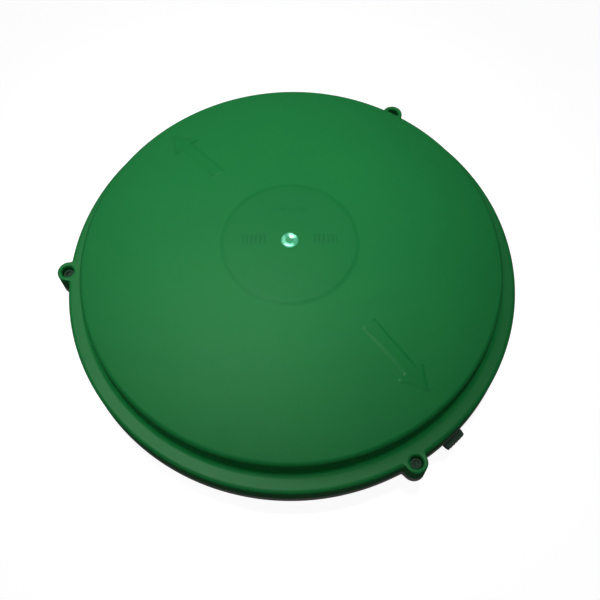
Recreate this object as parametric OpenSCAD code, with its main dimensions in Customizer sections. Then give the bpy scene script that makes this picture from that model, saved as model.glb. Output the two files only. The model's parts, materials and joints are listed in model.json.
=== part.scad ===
// Round, low wasp trap that stands on three feet.
// A grey tray carries a central bait well and a deck with six entry cones.
// A green domed cover is held on the tray by three captive screws.
// Wasps walk in under the rim, climb the cones and stay in the chamber under the cover.
// The axis of the trap is Z. Z = 0 is the tray's flat underside, at the mouth of the post socket.

/* [Cover] */
// Radius of the cover's rim
rim_r = 125; // [115:1:135]
// Radius of the raised panel's wall, inside the flange
panel_r = 115.2; // [105:0.1:116]
// Height of the flange's top face
flange_z = 38.5; // [37:0.5:42]
// Height of the middle of the dome
apex_z = 70.6; // [66:0.1:76]
// Rise of the dome over the panel's edge
dome_rise = 16.5; // [10:0.5:20]
// Wall of the cover
wall = 2.2; // [1.6:0.1:2.6]
// Rounding of the panel's edge
edge_round = 3; // [2.7:0.1:4]
// Rounding at the foot of the panel's wall
foot_round = 1.4; // [1:0.1:2.5]
// Rounding of the rim's outer edge
rim_round = 1.6; // [1:0.1:2]
// Radius of the raised disc in the middle
disc_r = 37.5; // [30:0.5:45]
// Height of the raised disc and of the arrows over the dome
relief = 0.5; // [0.3:0.1:0.8]

/* [Arrows] */
// Direction of the first arrow, about Z
arrow_angle = -48.9; // [-60:0.1:-30]
// Distance of the arrow's tail from the axis
arrow_tail = 60; // [50:1:65]
// Distance of the arrow's tip from the axis
arrow_tip = 106; // [95:1:108]
// Width of the arrow's shaft
arrow_shaft = 9; // [6:0.5:12]
// Width of the arrow's head
arrow_head_w = 19; // [14:0.5:24]
// Length of the arrow's head
arrow_head_l = 15; // [10:0.5:20]

/* [Screws] */
// Distance of each screw's axis from the trap's axis
lug_r = 126.2; // [125:0.1:127]
// Radius of the round lug about each screw
lug_size = 5.9; // [5.6:0.1:6.6]
// Radius of the recess that the screw's head sits in
recess_r = 3.4; // [3.2:0.1:3.6]
// Radius of the screw's thread
thread_r = 1.5; // [1.4:0.05:1.6]
// Height that an undone screw rises before its washer stops it
screw_travel = 4.7; // [4.5:0.1:4.7]

/* [Tray] */
// Height of the deck's underside
deck_z = 22; // [21:0.5:23]
// Height of the rim that the cover's skirt stands on
tray_rim_z = 27.2; // [26.5:0.1:28]
// Thickness of the tray's walls, floor and deck
tray_wall = 2.2; // [1.8:0.1:2.4]
// Outer radius of the bait well
well_r = 66; // [64:0.5:67]
// Radius of the socket for a round post of 16 mm
socket_r = 8.2; // [8.1:0.05:8.4]
// Depth of the post socket
socket_depth = 18.9; // [18:0.1:20]

/* [Entries] */
// Number of entry cones
entries = 6; // [6:1:6]
// Distance of each entry cone's axis from the trap's axis
entry_r = 90; // [88:0.5:92]
// Radius of a cone's mouth
mouth_r = 9; // [8:0.1:9.2]
// Radius of a cone's throat
throat_r = 4.5; // [4:0.1:5]
// Height of a cone's throat
throat_z = 46; // [40:0.5:48]

/* [Shutter] */
// Turn of the shutter from open to closed, in degrees
shutter_turn = 16; // [15:0.5:17]
// Outer radius of the shutter's ring
shutter_r = 119; // [116:0.5:119.5]
// Distance of the finger tab's outer edge from the trap's axis
tab_r = 128.4; // [127:0.1:130]
// Direction of the first finger tab, about Z
tab_angle = -47.2; // [-50:0.1:-44]
// Width of a finger tab
tab_w = 13.4; // [10:0.1:16]

/* [Bait] */
// Outer radius of the lift-out trough
trough_r = 62.5; // [60:0.5:63]
// Height of the trough's walls
trough_z = 23.4; // [22.8:0.1:24]
// Height of the sponge's top
sponge_z = 17; // [12:0.5:18]
// Number of slots in the trough's lid
lid_slots = 24; // [12:1:30]

/* [Feet] */
// Height of a rubber foot under the tray
foot_h = 2.5; // [1.5:0.1:4]
// Radius of a rubber foot
foot_r = 8; // [6:0.5:9]
// Distance of each foot from the trap's axis
foot_ring = 48; // [40:1:52]

/* [Hidden] */

$fn = 96;
cut = 1;                    // how far a cutting solid runs past the face it cuts
gap = 0.3;                  // air between pieces that move past each other
slip = 0.1;                 // air between pieces that are pushed together
screw_at = [180, 60, -60];  // directions of the three screws
arrow_at = [arrow_angle, arrow_angle + 180];
tab_at = [tab_angle, tab_angle + 180];
entry_at = [for (i = [0:entries - 1]) 30 + i * 360 / entries];
foot_at = [60, 180, 300];

// The dome is a circle of dome_r about dome_c, and the panel's edge is a small arc inside it.
dome_r = (panel_r * panel_r + dome_rise * dome_rise) / (2 * dome_rise);
dome_c = apex_z - dome_r;
edge_c = panel_r - edge_round;
edge_z = dome_c + sqrt(pow(dome_r - edge_round, 2) - edge_c * edge_c);
edge_a = acos(edge_c / (dome_r - edge_round));
dome_steps = 28;
edge_steps = 6;

lug_floor = 33;             // seat of the screw's head
lug_web = 1.5;              // thickness of the web under the head
head_r = 2.9;
head_h = 2.2;
key_r = 1.45;
neck_r = 1.1;
washer_h = 0.8;
thread_h = 3.1;
thread_z = lug_floor - lug_web - washer_h - screw_travel - thread_h;
insert_r = 2.5;
insert_z = 22.8;
insert_top = 27;
recess_mouth = 1;           // the recess flares by this much at its top

deck_top = deck_z + tray_wall;
tray_r = rim_r;
band_w = 5.2;
spigot_r = 118.4;
spigot_w = 2.2;
spigot_top = flange_z - wall - 2.9;
socket_wall = 3.3;
socket_cap = 2.4;
foot_stem_r = 2.9;
foot_stem_h = 1.5;

entry_hole_r = mouth_r + 1.6;
cone_flange_r = entry_hole_r + 2.6;
cone_flange_h = 1.6;
cone_wall = 1.2;

rib_r = 75.7;               // the shutter turns about this rib
rib_h = 3;
shutter_h = 2.3;
shutter_z = deck_z - gap - shutter_h;
port_r = 11;
tab_h = 4.3;
peg_ring = 110;             // the stop peg's distance from the axis
peg_angle = 100;
peg_r = 2;
slot_r = peg_r + gap;
slot_end = asin(slot_r / peg_ring);
retainer_h = 2.2;
retainer_r = 80;
retainer_z = deck_z - rib_h - retainer_h;
small_screw_ring = 71;
small_screw_r = 1.4;
small_head_r = 2.8;
small_head_h = 1.6;

trough_wall = 1.6;
trough_hole = socket_r + socket_wall + 0.8;
lid_h = 1.6;
lid_slot_w = 3;
lid_slot_in = 24;
lid_slot_out = 54;
knob_r = 9;
knob_h = 8;

plug_hole_r = 3.9;
plug_head_r = 4.7;
plug_head_h = 0.9;
plug_barb_r = 4.4;

// Points on an arc of radius r about c, from angle a to angle b.
function arc(c, r, a, b, n) = [for (i = [0:n]) c + r * [cos(a + (b - a) * i / n), sin(a + (b - a) * i / n)]];

module ring(r_out, r_in, z, h) {
    translate([0, 0, z])
        difference() {
            cylinder(r = r_out, h = h);
            translate([0, 0, -cut]) cylinder(r = r_in, h = h + 2 * cut);
        }
}

module at(angle, r) {
    rotate([0, 0, angle]) translate([r, 0, 0]) children();
}

// Cover: a thin turned shell, from the dome over the panel's edge to the flange and the skirt.
module cover_shell() {
    inner_r = rim_r - wall;
    rotate_extrude($fn = 180)
        polygon(concat(
            arc([0, dome_c], dome_r, 90, edge_a, dome_steps),
            arc([edge_c, edge_z], edge_round, edge_a, 0, edge_steps),
            arc([panel_r + foot_round, flange_z + foot_round], foot_round, 180, 270, edge_steps),
            arc([rim_r - rim_round, flange_z - rim_round], rim_round, 90, 0, edge_steps),
            [[rim_r, tray_rim_z], [inner_r, tray_rim_z], [inner_r, flange_z - wall],
             [panel_r - wall, flange_z - wall]],
            arc([edge_c, edge_z], edge_round - wall, 0, edge_a, edge_steps),
            arc([0, dome_c], dome_r - wall, edge_a, 90, dome_steps)));
}

// A thin layer over the dome, that the raised disc and the arrows are cut from.
module relief_layer() {
    rotate_extrude($fn = 180)
        polygon(concat(
            arc([0, dome_c], dome_r + relief, 90, edge_a, dome_steps),
            arc([0, dome_c], dome_r - wall / 2, edge_a, 90, dome_steps)));
}

module arrow_outline() {
    polygon([[arrow_tail, -arrow_shaft / 2], [arrow_tip - arrow_head_l, -arrow_shaft / 2],
        [arrow_tip - arrow_head_l, -arrow_head_w / 2], [arrow_tip, 0],
        [arrow_tip - arrow_head_l, arrow_head_w / 2], [arrow_tip - arrow_head_l, arrow_shaft / 2],
        [arrow_tail, arrow_shaft / 2]]);
}

module cover_reliefs() {
    intersection() {
        relief_layer();
        translate([0, 0, flange_z])
            linear_extrude(apex_z)
                union() {
                    circle(r = disc_r);
                    for (a = arrow_at) rotate(a) arrow_outline();
                }
    }
}

module lug_recess() {
    translate([0, 0, lug_floor]) cylinder(r = recess_r, h = flange_z);
    translate([0, 0, flange_z - recess_mouth])
        cylinder(r1 = recess_r, r2 = recess_r + 2 * recess_mouth, h = 2 * recess_mouth);
    translate([0, 0, tray_rim_z - cut]) cylinder(r = thread_r + 0.2, h = flange_z);
    translate([0, 0, tray_rim_z - cut])
        cylinder(r = recess_r, h = lug_floor - lug_web - tray_rim_z + cut);
}

module cover() {
    color("forestgreen")
        difference() {
            union() {
                cover_shell();
                cover_reliefs();
                for (a = screw_at)
                    at(a, lug_r) translate([0, 0, tray_rim_z]) cylinder(r = lug_size, h = flange_z - tray_rim_z);
            }
            for (a = screw_at) at(a, lug_r) lug_recess();
            translate([0, 0, flange_z]) cylinder(r = plug_hole_r, h = apex_z);
        }
}

// Clear green plug in the middle of the dome: head, shank and snap barb in one turned piece.
module light_plug() {
    seat_z = apex_z + relief;
    barb_z = apex_z - wall - gap;
    shank_r = plug_hole_r - slip / 2;
    color("mediumspringgreen")
        rotate_extrude()
            polygon([[0, barb_z - 2], [shank_r - 1, barb_z - 2], [plug_barb_r, barb_z - 0.6],
                [plug_barb_r, barb_z], [shank_r, barb_z], [shank_r, seat_z],
                [plug_head_r, seat_z], [plug_head_r - 0.5, seat_z + plug_head_h / 2],
                [plug_head_r - 2, seat_z + plug_head_h * 0.85], [0, seat_z + plug_head_h]]);
}

// Rubber channel that sits over the tray's spigot and meets the flange.
module cover_seal() {
    lip = 3;
    grip_r = spigot_r + 0.9;
    color("dimgray")
        difference() {
            ring(grip_r, spigot_r - spigot_w - 0.9, spigot_top - lip, flange_z - wall - spigot_top + lip);
            ring(spigot_r, spigot_r - spigot_w, spigot_top - lip - cut, lip + cut);
        }
}

// Captive screw: socket head, thin neck and a short thread.
module lid_screw(i) {
    neck_z = thread_z + thread_h;
    color("#2e302f")
        at(screw_at[i], lug_r)
            difference() {
                union() {
                    translate([0, 0, lug_floor]) cylinder(r = head_r, h = head_h);
                    translate([0, 0, neck_z - cut / 2]) cylinder(r = neck_r, h = lug_floor - neck_z + cut);
                    translate([0, 0, thread_z]) cylinder(r = thread_r, h = thread_h);
                }
                translate([0, 0, lug_floor + head_h / 2]) cylinder(r = key_r, h = head_h, $fn = 6);
            }
}

// Washer under the lug's web. The thread can't pass it, so the screw stays in the cover.
module screw_retainer(i) {
    color("whitesmoke")
        at(screw_at[i], lug_r)
            ring(recess_r - slip / 2, neck_r + slip, lug_floor - lug_web - washer_h, washer_h);
}

// Brass insert in the tray's lug.
module threaded_insert(i) {
    color("goldenrod")
        at(screw_at[i], lug_r) ring(insert_r - slip / 2, thread_r + slip / 2, insert_z, insert_top - insert_z);
}

module tray_cuts() {
    for (a = entry_at) at(a, entry_r) translate([0, 0, deck_z - cut]) cylinder(r = entry_hole_r, h = tray_wall + 2 * cut);
    for (a = screw_at) at(a, lug_r) translate([0, 0, insert_z]) cylinder(r = insert_r, h = tray_rim_z);
    for (a = foot_at) at(a, foot_ring) translate([0, 0, -cut]) cylinder(r = foot_stem_r + slip / 2, h = foot_stem_h + slip / 2 + cut);
    for (i = [0:entries - 1])
        at(i * 360 / entries, small_screw_ring)
            translate([0, 0, retainer_z]) cylinder(r = small_screw_r + slip / 2, h = deck_z - retainer_z + 1.4);
    translate([0, 0, -cut]) cylinder(r = socket_r, h = socket_depth + cut);
}

// The tray's lugs, cut off inside the rim band.
module tray_lugs() {
    translate([0, 0, deck_z])
        linear_extrude(tray_rim_z - deck_z)
            difference() {
                for (a = screw_at) rotate(a) translate([lug_r, 0]) circle(r = lug_size);
                circle(r = tray_r - band_w / 2);
            }
}

// Tray: well, deck, rim band, spigot for the seal, rib for the shutter and a blind post socket.
module base_tray() {
    color("darkgray")
        difference() {
            union() {
                rotate_extrude($fn = 180)
                    polygon([[0, 0], [well_r, 0], [well_r, deck_z - rib_h], [rib_r, deck_z - rib_h],
                        [rib_r, deck_z], [tray_r, deck_z], [tray_r, tray_rim_z],
                        [tray_r - band_w, tray_rim_z], [tray_r - band_w, deck_top],
                        [spigot_r, deck_top], [spigot_r, spigot_top],
                        [spigot_r - spigot_w, spigot_top], [spigot_r - spigot_w, deck_top],
                        [well_r - tray_wall, deck_top], [well_r - tray_wall, tray_wall],
                        [socket_r + socket_wall, tray_wall],
                        [socket_r + socket_wall, socket_depth + socket_cap],
                        [0, socket_depth + socket_cap]]);
                tray_lugs();
                at(peg_angle, peg_ring)
                    translate([0, 0, shutter_z - gap]) cylinder(r = peg_r, h = deck_z - shutter_z + 2 * gap);
            }
            tray_cuts();
        }
}

// Entry cone: wide below, narrow above, pushed into the deck from above.
module entry_cone(i) {
    spigot = entry_hole_r - slip;
    color("gold")
        at(entry_at[i], entry_r)
            rotate_extrude()
                polygon([[mouth_r, deck_z], [spigot, deck_z], [spigot, deck_top],
                    [cone_flange_r, deck_top], [cone_flange_r, deck_top + cone_flange_h],
                    [mouth_r + cone_wall, deck_top + cone_flange_h],
                    [throat_r + cone_wall, throat_z], [throat_r, throat_z]]);
}

// Curved slot round the stop peg, as long as the shutter's turn.
module stop_slot() {
    rotate([0, 0, peg_angle - shutter_turn - slot_end])
        rotate_extrude(angle = shutter_turn + 2 * slot_end)
            translate([peg_ring - slot_r, shutter_z - cut])
                square([2 * slot_r, shutter_h + 2 * cut]);
}

// Shutter: a flat ring under the deck, with a port under each cone and two finger tabs.
module shutter_ring() {
    color("#33403a")
        difference() {
            union() {
                ring(shutter_r, rib_r + gap, shutter_z, shutter_h);
                for (a = tab_at)
                    rotate([0, 0, a])
                        intersection() {
                            ring(tab_r, shutter_r - 4, shutter_z + shutter_h - tab_h, tab_h);
                            translate([0, -tab_w / 2, 0]) cube([tab_r + cut, tab_w, deck_z]);
                        }
            }
            for (a = entry_at) at(a, entry_r) translate([0, 0, shutter_z - cut]) cylinder(r = port_r, h = shutter_h + 2 * cut);
            stop_slot();
        }
}

// Flat ring that holds the shutter up against the deck.
module shutter_retainer() {
    color("gray")
        difference() {
            ring(retainer_r, well_r + gap, retainer_z, retainer_h);
            for (i = [0:entries - 1])
                at(i * 360 / entries, small_screw_ring)
                    translate([0, 0, retainer_z - cut]) cylinder(r = small_screw_r + gap, h = retainer_h + 2 * cut);
        }
}

module retainer_screws() {
    color("silver")
        for (i = [0:entries - 1])
            at(i * 360 / entries, small_screw_ring)
                translate([0, 0, retainer_z])
                    difference() {
                        union() {
                            translate([0, 0, -small_head_h]) cylinder(r = small_head_r, h = small_head_h);
                            translate([0, 0, -cut / 2]) cylinder(r = small_screw_r, h = deck_z - retainer_z + cut / 2 + 1);
                        }
                        for (t = [0, 90])
                            rotate([0, 0, t]) translate([-1.7, -0.4, -small_head_h - cut]) cube([3.4, 0.8, 1 + cut]);
                    }
}

// Round trough with a hole for the socket, lifted out to change the bait.
module bait_trough() {
    color("lightgray")
        rotate_extrude($fn = 144)
            polygon([[trough_hole, tray_wall], [trough_r, tray_wall], [trough_r, trough_z],
                [trough_r - trough_wall, trough_z], [trough_r - trough_wall, tray_wall + trough_wall],
                [trough_hole + trough_wall, tray_wall + trough_wall],
                [trough_hole + trough_wall, trough_z], [trough_hole, trough_z]]);
}

module bait_sponge() {
    color("khaki")
        ring(trough_r - trough_wall - 1, trough_hole + trough_wall + 1, tray_wall + trough_wall, sponge_z - tray_wall - trough_wall);
}

// Slotted lid over the trough, with a knob to lift it by.
module bait_lid() {
    color("slategray")
        difference() {
            union() {
                translate([0, 0, trough_z]) cylinder(r = trough_r, h = lid_h);
                translate([0, 0, trough_z + lid_h - cut / 2]) cylinder(r = knob_r - 2.5, h = knob_h);
                translate([0, 0, trough_z + lid_h + knob_h - 3]) cylinder(r = knob_r, h = 3);
            }
            for (i = [0:lid_slots - 1])
                rotate([0, 0, i * 360 / lid_slots])
                    translate([lid_slot_in, -lid_slot_w / 2, trough_z - cut])
                        cube([lid_slot_out - lid_slot_in, lid_slot_w, lid_h + 2 * cut]);
        }
}

module rubber_foot(i) {
    color("#1c1c1c")
        at(foot_at[i], foot_ring)
            union() {
                translate([0, 0, -foot_h]) cylinder(r = foot_r, h = foot_h);
                translate([0, 0, -cut]) cylinder(r = foot_stem_r, h = foot_stem_h + cut);
            }
}

cover();
light_plug();
cover_seal();
lid_screw(0);  // lid_screw_1
lid_screw(1);  // lid_screw_2
lid_screw(2);  // lid_screw_3
screw_retainer(0);  // screw_retainer_1
screw_retainer(1);  // screw_retainer_2
screw_retainer(2);  // screw_retainer_3
threaded_insert(0);  // threaded_insert_1
threaded_insert(1);  // threaded_insert_2
threaded_insert(2);  // threaded_insert_3
base_tray();
entry_cone(0);  // entry_cone_1
entry_cone(1);  // entry_cone_2
entry_cone(2);  // entry_cone_3
entry_cone(3);  // entry_cone_4
entry_cone(4);  // entry_cone_5
entry_cone(5);  // entry_cone_6
shutter_ring();
shutter_retainer();
retainer_screws();
bait_trough();
bait_sponge();
bait_lid();
rubber_foot(0);  // rubber_foot_1
rubber_foot(1);  // rubber_foot_2
rubber_foot(2);  // rubber_foot_3
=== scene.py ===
"""Looks of the round wasp trap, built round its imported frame.

Lengths are in millimetres until the last step, which turns each piece's points into metres.
The trap's axis is Z. Most pieces are turned: an outline in the r, z plane is carried round an axis.
"""

import json
import math

import bmesh
import bpy
import numpy as np
from mathutils import Matrix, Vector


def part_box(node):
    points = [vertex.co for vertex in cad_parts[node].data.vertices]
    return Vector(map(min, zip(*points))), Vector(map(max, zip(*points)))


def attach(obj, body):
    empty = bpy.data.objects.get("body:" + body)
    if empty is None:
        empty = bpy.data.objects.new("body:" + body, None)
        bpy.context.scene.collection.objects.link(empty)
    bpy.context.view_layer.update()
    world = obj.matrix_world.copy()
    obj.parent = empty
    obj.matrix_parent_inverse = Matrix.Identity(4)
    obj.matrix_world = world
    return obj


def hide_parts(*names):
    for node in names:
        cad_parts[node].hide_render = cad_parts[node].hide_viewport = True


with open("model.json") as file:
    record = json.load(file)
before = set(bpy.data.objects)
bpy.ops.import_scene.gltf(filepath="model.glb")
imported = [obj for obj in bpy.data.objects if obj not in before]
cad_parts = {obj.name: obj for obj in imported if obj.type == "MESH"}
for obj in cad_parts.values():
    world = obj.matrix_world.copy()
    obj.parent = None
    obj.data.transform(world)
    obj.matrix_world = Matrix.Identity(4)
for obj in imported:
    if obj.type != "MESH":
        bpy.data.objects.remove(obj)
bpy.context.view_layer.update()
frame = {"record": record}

MM = 0.001
TURN = 2 * math.pi


def box_mm(node):
    """Lowest and highest corner of a CAD node, in millimetres."""
    low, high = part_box(node)
    return np.array(low) / MM, np.array(high) / MM


# ---------------------------------------------------------------- sizes

COVER_LOW, COVER_HIGH = box_mm("cover")
TRAY_HIGH = box_mm("base_tray")[1]
SCREW_LOW, SCREW_HIGH = box_mm("lid_screw_1")
WASHER_LOW, WASHER_HIGH = box_mm("screw_retainer_1")
INSERT_LOW, INSERT_HIGH = box_mm("threaded_insert_1")
CONE_LOW, CONE_HIGH = box_mm("entry_cone_2")
SHUTTER_LOW, SHUTTER_HIGH = box_mm("shutter_ring")
RETAINER_LOW, RETAINER_HIGH = box_mm("shutter_retainer")
SMALL_LOW, SMALL_HIGH = box_mm("retainer_screws")
TROUGH_LOW, TROUGH_HIGH = box_mm("bait_trough")
SPONGE_LOW, SPONGE_HIGH = box_mm("bait_sponge")
LID_LOW, LID_HIGH = box_mm("bait_lid")
SEAL_LOW, SEAL_HIGH = box_mm("cover_seal")
FOOT_LOW, FOOT_HIGH = box_mm("rubber_foot_2")
PLUG_LOW, PLUG_HIGH = box_mm("light_plug")
SOCKET = next(m for m in frame["record"]["mounts"] if m["name"] == "post_socket")["dims"]

WALL = 2.2  # wall of the cover and of the tray
RELIEF = 0.5  # height of the raised disc and of the arrows
SLIP = 0.01  # how far a point may lie off a level or a wall and still count as on it

RIM_R = 125.0
SKIRT_Z = COVER_LOW[2]
FLANGE_Z = SKIRT_Z + 11.3
APEX_Z = COVER_HIGH[2] - RELIEF
PANEL_R = RIM_R - 9.8
DOME_RISE = 16.5
EDGE_ROUND = 3.0  # panel's upper edge
FOOT_ROUND = 3.2  # hollow at the panel's foot
RIM_ROUND = 2.2  # flange's outer edge
LUG_ROUND = 1.2  # the same edge at a lug
SHELF = 5.6  # outer part of the flange that moves out with a lug
DISC_R = 37.5
DISC_EDGE = 3.0
PLUG_HOLE_R = 3.9

LUG_R = -(SCREW_LOW[0] + SCREW_HIGH[0]) / 2
LUG_SIZE = -COVER_LOW[0] - LUG_R
LUG_AT = np.radians([60.0, 180.0, 300.0])
LUG_BLEND, BORE_BLEND = 1.8, 1.2  # hollows where a lug meets the rim, outside and inside
LUG_WINDOW = math.radians(3.2)
SCREW_AT = [math.pi, math.pi / 3, -math.pi / 3]
RECESS_R = 3.4
SEAT_Z = SCREW_HIGH[2] - 2.2
WEB = 1.5

DOME_R = (PANEL_R**2 + DOME_RISE**2) / (2 * DOME_RISE)
DOME_C = APEX_Z - DOME_R
EDGE_C = PANEL_R - EDGE_ROUND
EDGE_Z = DOME_C + math.sqrt((DOME_R - EDGE_ROUND) ** 2 - EDGE_C**2)
EDGE_A = math.acos(EDGE_C / (DOME_R - EDGE_ROUND))

TRAY_R = RIM_R
DECK_Z = CONE_LOW[2]
DECK_TOP = DECK_Z + WALL
BAND_IN = TRAY_R - 5.2
SPIGOT_R = 118.4
SPIGOT_TOP = TRAY_HIGH[2]
WELL_R = 66.0
RIB_R = 75.7
RIB_Z = RETAINER_HIGH[2]
SOCKET_R = SOCKET["r_mm"]
SOCKET_TOP = SOCKET["length_mm"]
BOSS_R = SOCKET_R + 3.3
BOSS_TOP = SOCKET_TOP + 2.4

ENTRY_R = 90.0
ENTRY_AT = np.radians(np.arange(6) * 60.0 + 30.0)
ENTRY_HOLE_R = 10.6
CONE_FLANGE_R = 13.2
MOUTH_R = 9.0
THROAT_R = 4.5
ARROW_AT = np.radians([-48.9, 131.1])
TAB_AT = np.radians([-47.2, 132.8])
TAB_R = 128.4
TAB_HALF = 6.7
PORT_R = 11.0
PEG_AT = math.radians(100.0)
PEG_RING = 110.0
PEG_R = 2.0
SHUTTER_TURN = math.radians(16.0)
SMALL_RING = 71.0
SMALL_AT = np.radians(np.arange(6) * 60.0)
FOOT_RING = 48.0
FOOT_AT = np.radians([60.0, 180.0, 300.0])


# ---------------------------------------------------------------- mesh tools


def corner_curve(last, here, following, radius, t):
    """A rounded corner: (1 - t)^2 a + t^2 b + 2 t (1 - t) corner, with a and b at reach from the corner.

    reach is where a circle of that radius would meet the two sides.
    """
    back = (last - here) / np.linalg.norm(last - here)
    on = (following - here) / np.linalg.norm(following - here)
    reach = radius / math.tan(math.acos(np.clip(back @ on, -1, 1)) / 2)
    t = t[:, None]
    return (1 - t) ** 2 * (here + reach * back) + t**2 * (here + reach * on) + 2 * t * (1 - t) * here


class Outline:
    """An outline in the r, z plane, drawn from point to point. A named stretch keeps its row numbers."""

    def __init__(self, r, z):
        self.points = [(r, z)]
        self.rows = {}

    def to(self, r, z, steps=1, name=None):
        """A straight stretch to r, z, in equal steps."""
        start = np.array(self.points[-1])
        if name:
            self.rows[name] = (len(self.points) - 1, len(self.points) - 1 + steps)
        for t in np.arange(1, steps + 1) / steps:
            self.points.append(tuple(start + t * (np.array((r, z)) - start)))
        return self

    def bend(self, centre, radius, start, end, steps=4):
        """An arc about centre, from one angle in degrees to another."""
        for a in np.radians(np.linspace(start, end, steps + 1)):
            self.points.append((centre[0] + radius * math.cos(a), centre[1] + radius * math.sin(a)))
        return self

    def corner(self, r, z, radius, toward, steps=3):
        """A rounded corner at r, z, between the last stretch and the one toward the next point."""
        last, here, following = np.array(self.points[-1]), np.array((r, z)), np.array(toward)
        curve = corner_curve(last, here, following, radius, np.linspace(0, 1, steps + 1))
        self.points += [tuple(point) for point in curve]
        return self

    def array(self):
        """The points as an array."""
        return np.array(self.points)


def ring_outline(r_in, r_out, low, high, radius, steps=3, across=1):
    """A closed rectangle in the r, z plane with rounded corners, from its inner wall round by the top."""
    line = Outline(r_in, (low + high) / 2)
    line.corner(r_in, high, radius, (r_out, high), steps)
    line.to(r_out - radius, high, across)
    line.points.pop()
    line.corner(r_out, high, radius, (r_out, low), steps)
    line.corner(r_out, low, radius, (r_in, low), steps)
    line.to(r_in + radius, low, across)
    line.points.pop()
    line.corner(r_in, low, radius, (r_in, high), steps)
    return line


class Skin:
    """The points and faces of one piece, gathered as whole arrays."""

    def __init__(self):
        self.points, self.faces, self.count = [], [], 0

    def add(self, grid):
        """Adds a grid of points and returns their numbers in the same layout."""
        numbers = self.count + np.arange(grid[..., 0].size).reshape(grid.shape[:-1])
        self.points.append(grid.reshape(-1, 3))
        self.count += grid[..., 0].size
        return numbers

    def weave(self, numbers, close_rows=False, close_columns=True, keep=None):
        """Puts a face between neighbouring rows and columns, but not where keep is False."""
        if close_rows:
            numbers = np.vstack([numbers, numbers[:1]])
        if close_columns:
            numbers = np.hstack([numbers, numbers[:, :1]])
        corners = [numbers[:-1, :-1], numbers[:-1, 1:], numbers[1:, 1:], numbers[1:, :-1]]
        quads = np.stack(corners, -1)
        self.faces.append(quads.reshape(-1, 4) if keep is None else quads[keep[:len(quads)]])

    def cap(self, ring, centre):
        """Closes a ring of points with a fan to its centre."""
        middle = self.add(np.array([[centre]], float))[0, 0]
        self.faces.append(np.stack([ring, np.roll(ring, -1), np.full(len(ring), middle)], -1))

    def object(self, name, crease=35.0):
        """A mesh object in metres, closed, with its faces outwards and its sharp edges marked."""
        mesh = bpy.data.meshes.new(name)
        faces = [face for block in self.faces for face in block.tolist()]
        mesh.from_pydata(np.vstack(self.points) * MM, [], faces)
        work = bmesh.new()
        work.from_mesh(mesh)
        bmesh.ops.remove_doubles(work, verts=work.verts, dist=1e-7)
        bmesh.ops.dissolve_degenerate(work, edges=work.edges, dist=1e-7)
        bmesh.ops.recalc_face_normals(work, faces=work.faces)
        work.to_mesh(mesh)
        work.free()
        mesh.shade_smooth()
        mesh.set_sharp_from_angle(angle=math.radians(crease))
        piece = bpy.data.objects.new(name, mesh)
        bpy.context.scene.collection.objects.link(piece)
        return piece


def even_angles(steps):
    """Equal steps round a full turn."""
    return np.arange(steps) * TURN / steps


def angle_grid(windows, coarse):
    """Angles round the axis: equal fine steps inside each window, and steps near coarse between them.

    windows is a list of (middle, half width, steps), all in radians. Returns the angles and, for
    each window, its first and last column.
    """
    starts = [(w[0] - w[1]) % TURN for w in windows]
    order = np.argsort(starts)
    angles, columns = [], [None] * len(windows)
    for count, k in enumerate(order, 1):
        half, steps = windows[k][1:]
        following = starts[order[count % len(order)]] + TURN * (count == len(order))
        columns[k] = (len(angles), len(angles) + steps)
        angles += list(np.linspace(starts[k], starts[k] + 2 * half, steps + 1))
        room = following - angles[-1]
        between = max(1, round(room / coarse))
        angles += list(angles[-1] + room * np.arange(1, between) / between)
    return np.array(angles), columns


def turned_grid(points, angles, shift=None):
    """Points (r + dr, z + dz) of an outline at every angle: x = r cos a, y = r sin a."""
    r, z = points[:, :1] + 0 * angles, points[:, 1:] + 0 * angles
    if shift is not None:
        dr, dz = shift(points[:, :1], points[:, 1:], angles)
        r, z = r + dr, z + dz
    return np.stack([r * np.cos(angles), r * np.sin(angles), z], -1)


def at(angle, radius):
    """The point at that angle and distance from the axis."""
    return np.array([radius * math.cos(angle), radius * math.sin(angle)])


def add_turned(skin, points, angles, shift=None, centre=(0.0, 0.0), closed=True):
    """Adds an outline carried round an upright axis through centre. An open one is capped on the axis."""
    grid = turned_grid(points, angles, shift) + np.array([centre[0], centre[1], 0.0])
    numbers = skin.add(grid)
    skin.weave(numbers, close_rows=closed)
    if not closed:
        skin.cap(numbers[0], [*centre, grid[0, :, 2].mean()])
        skin.cap(numbers[-1], [*centre, grid[-1, :, 2].mean()])


def turned(name, line, steps=96, shift=None, centre=(0.0, 0.0), closed=True, crease=35.0):
    """A turned piece: the outline carried round an upright axis through centre."""
    skin = Skin()
    add_turned(skin, line.array(), even_angles(steps), shift, centre, closed)
    return skin.object(name, crease)


def block_loop(numbers, rows, columns):
    """The numbers round a block of a grid: along its near row, out, back along its far row, and in."""
    near, far = rows
    first, last = columns
    step = 1 if far > near else -1
    width = numbers.shape[1]
    across, back = np.arange(first, last) % width, np.arange(last, first, -1) % width
    out, home = np.arange(near, far, step), np.arange(far, near, -step)
    first, last = first % width, last % width
    return np.concatenate(
        [numbers[near, across], numbers[out, last], numbers[far, back], numbers[home, first]]
    )


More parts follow.
